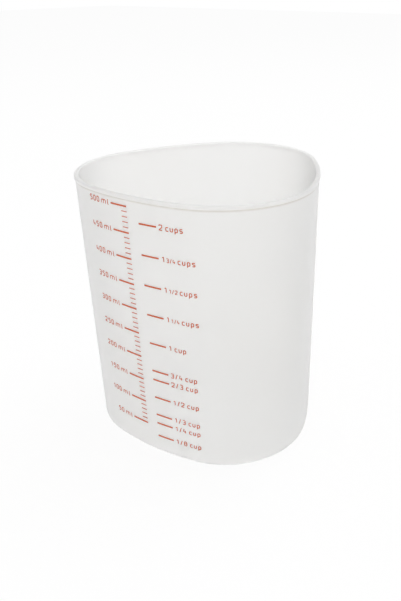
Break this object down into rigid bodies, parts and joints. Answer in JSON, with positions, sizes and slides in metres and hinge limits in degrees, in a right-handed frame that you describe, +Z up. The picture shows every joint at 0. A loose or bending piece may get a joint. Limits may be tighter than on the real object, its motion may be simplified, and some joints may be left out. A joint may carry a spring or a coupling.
{
  "type": "measuring cup",
  "caption": "Translucent measuring cup with a rounded triangular plan, no handle, and two orange-red printed scales.",
  "frame": {"origin": "middle of the overall box seen from above, in the plane of the foot ring on which the cup stands; the cup's own axis is 3.0 mm in front of it, towards -Y", "axes": "+Z up, parallel to the cup's axis, from the base to the rim; -Y out of the printed side; +X to the right of somebody who reads the scales"},
  "size_m": [0.0896, 0.0874, 0.0984],
  "materials": {
    "moulding": "satin translucent polypropylene, milky white",
    "ink": "orange-red printing ink"
  },
  "bodies": {
    "root": {"cup_body": "moulding", "ml_bar_50": "ink", "ml_tick_60": "ink", "ml_tick_70": "ink", "ml_tick_80": "ink", "ml_tick_90": "ink", "ml_bar_100": "ink", "ml_tick_110": "ink", "ml_tick_120": "ink", "ml_tick_130": "ink", "ml_tick_140": "ink", "ml_bar_150": "ink", "ml_tick_160": "ink", "ml_tick_170": "ink", "ml_tick_180": "ink", "ml_tick_190": "ink", "ml_bar_200": "ink", "ml_tick_210": "ink", "ml_tick_220": "ink", "ml_tick_230": "ink", "ml_tick_240": "ink", "ml_bar_250": "ink", "ml_tick_260": "ink", "ml_tick_270": "ink", "ml_tick_280": "ink", "ml_tick_290": "ink", "ml_bar_300": "ink", "ml_tick_310": "ink", "ml_tick_320": "ink", "ml_tick_330": "ink", "ml_tick_340": "ink", "ml_bar_350": "ink", "ml_tick_360": "ink", "ml_tick_370": "ink", "ml_tick_380": "ink", "ml_tick_390": "ink", "ml_bar_400": "ink", "ml_tick_410": "ink", "ml_tick_420": "ink", "ml_tick_430": "ink", "ml_tick_440": "ink", "ml_bar_450": "ink", "ml_tick_460": "ink", "ml_tick_470": "ink", "ml_tick_480": "ink", "ml_tick_490": "ink", "ml_bar_500": "ink", "cup_bar_1_8": "ink", "cup_bar_1_4": "ink", "cup_bar_1_3": "ink", "cup_bar_1_2": "ink", "cup_bar_2_3": "ink", "cup_bar_3_4": "ink", "cup_bar_1": "ink", "cup_bar_1_1_4": "ink", "cup_bar_1_1_2": "ink", "cup_bar_1_3_4": "ink", "cup_bar_2": "ink"}
  },
  "joints": []
}
